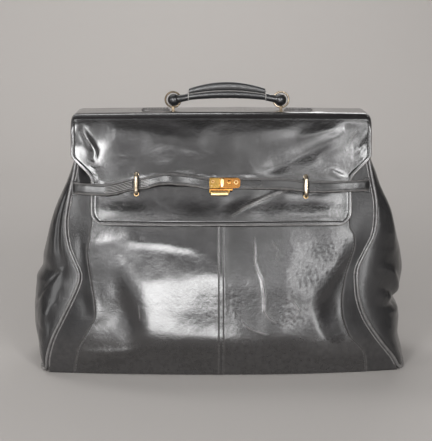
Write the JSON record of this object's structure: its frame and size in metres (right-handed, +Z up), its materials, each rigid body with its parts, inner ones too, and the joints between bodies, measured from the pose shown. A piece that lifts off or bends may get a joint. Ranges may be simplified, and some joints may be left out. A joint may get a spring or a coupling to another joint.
{
  "type": "leather travel bag",
  "caption": "Soft-sided leather travel bag with a trapezoid body, flap, rolled top handle on rings, belt straps through brass staples and a turning clasp.",
  "frame": {"origin": "on the floor under the middle of the base", "axes": "+X along the width to the right as seen from the front, -Y out of the front with the flap, +Z up"},
  "size_m": [0.5362, 0.2238, 0.3995],
  "materials": {
    "body_leather": "smooth box calf, glossy and worn",
    "side_leather": "smooth box calf, creased",
    "seam_leather": "narrow leather with worn pale ridges",
    "flap_leather": "smooth box calf, glossy with wide soft highlights",
    "handle_leather": "dark polished leather",
    "handle_binding": "pale worn leather binding",
    "strap_leather": "doubled leather with worn edges",
    "suede_lining": "brushed tan suede",
    "facing_leather": "smooth leather",
    "stiff_board": "pressed fibre board",
    "worn_brass": "aged pale brass",
    "gilt_clasp": "gilt brass, rubbed bright on its edges",
    "copper_clasp": "coppery worn gilding"
  },
  "bodies": {
    "bag": {"front_panel_left": "body_leather", "front_panel_right": "body_leather", "centre_seam_strip": "seam_leather", "front_side_strip_left": "side_leather", "front_side_strip_right": "side_leather", "back_panel": "body_leather", "gusset_left": "side_leather", "gusset_right": "side_leather", "piping_left": "seam_leather", "piping_right": "seam_leather", "bottom_panel": "body_leather", "bottom_board": "stiff_board", "bottom_lining": "suede_lining", "front_lining": "suede_lining", "back_lining": "suede_lining", "gusset_lining_left": "suede_lining", "gusset_lining_right": "suede_lining", "front_facing": "facing_leather", "back_facing": "facing_leather", "strap_slot_left": "side_leather", "strap_slot_right": "side_leather"},
    "flap_top": {"flap_top_panel": "flap_leather", "flap_top_board": "stiff_board", "flap_top_lining": "suede_lining", "ring_tab_left": "flap_leather", "ring_tab_right": "flap_leather", "ring_eye_left": "worn_brass", "ring_eye_right": "worn_brass"},
    "handle": {"handle_roll": "handle_leather", "handle_crest": "handle_leather", "handle_binding_left": "handle_binding", "handle_binding_right": "handle_binding", "handle_end_left": "handle_leather", "handle_end_right": "handle_leather", "handle_ring_left": "worn_brass", "handle_ring_right": "worn_brass"},
    "flap_front": {"flap_front_panel": "flap_leather", "flap_front_lining": "suede_lining", "staple_left": "worn_brass", "staple_right": "worn_brass", "staple_eyelets_left": "worn_brass", "staple_eyelets_right": "worn_brass", "strap_left": "strap_leather", "strap_right": "strap_leather", "clasp_plate_left": "gilt_clasp", "clasp_plate_right": "copper_clasp", "clasp_rivets": "gilt_clasp", "clasp_post": "gilt_clasp", "clasp_ledge": "copper_clasp", "clasp_tab_pin": "gilt_clasp"},
    "turn_bar": {"clasp_turn_bar": "gilt_clasp"},
    "clasp_tab": {"clasp_tab": "gilt_clasp"},
    "left_tail": {"strap_tail_left": "strap_leather"},
    "right_tail": {"strap_tail_right": "strap_leather"}
  },
  "joints": [
    {"name": "flap_top_hinge", "type": "hinge", "parent": "bag", "child": "flap_top", "pos_m": [0, 0.037, 0.3524], "axis": [-1, 0, 0], "range_deg": [0, 150]},
    {"name": "flap_front_hinge", "type": "hinge", "parent": "flap_top", "child": "flap_front", "pos_m": [0, -0.0401, 0.3524], "axis": [-1, 0, 0], "range_deg": [0, 100]},
    {"name": "handle_hinge", "type": "hinge", "parent": "flap_top", "child": "handle", "pos_m": [0.0085, 0, 0.3642], "axis": [1, 0, 0], "range_deg": [-55, 55]},
    {"name": "turn_bar_spin", "type": "hinge", "parent": "flap_front", "child": "turn_bar", "pos_m": [0.00125, -0.06759, 0.266], "axis": [0, -0.9518, 0.3069], "range_deg": [0, 90]},
    {"name": "clasp_tab_hinge", "type": "hinge", "parent": "flap_front", "child": "clasp_tab", "pos_m": [-0.003, -0.07642, 0.25524], "axis": [-1, 0, 0], "range_deg": [0, 80]},
    {"name": "left_tail_bend", "type": "hinge", "parent": "flap_front", "child": "left_tail", "pos_m": [-0.1215, -0.07044, 0.26256], "axis": [0, 0.2886, 0.9574], "range_deg": [0, 60]},
    {"name": "right_tail_bend", "type": "hinge", "parent": "flap_front", "child": "right_tail", "pos_m": [0.1215, -0.07064, 0.26192], "axis": [0, -0.2885, -0.9575], "range_deg": [0, 60]}
  ]
}
